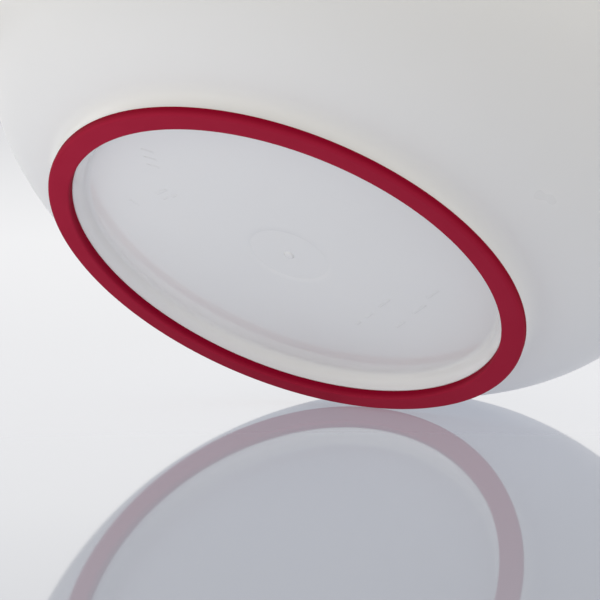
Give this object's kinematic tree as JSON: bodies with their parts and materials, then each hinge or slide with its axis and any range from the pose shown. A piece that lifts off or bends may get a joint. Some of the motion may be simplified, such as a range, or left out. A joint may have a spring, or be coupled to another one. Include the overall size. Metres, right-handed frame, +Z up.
{
  "type": "mixing bowl",
  "caption": "Round white kitchen mixing bowl with a plain rolled rim, a sunk base panel and a soft red non-slip ring pressed into its foot.",
  "frame": {"origin": "middle of the ring's underside, on the surface that the bowl stands on", "axes": "+Z up along the bowl's axis, out of its mouth; the bowl is round, so +X and +Y are free"},
  "size_m": [0.2088, 0.2088, 0.118],
  "materials": {
    "bowl_plastic": "moulded white plastic, smooth and softly glossy",
    "ring_rubber": "soft matt dark red silicone-like rubber"
  },
  "bodies": {
    "root": {"bowl": "bowl_plastic", "non_slip_ring": "ring_rubber"}
  },
  "joints": []
}
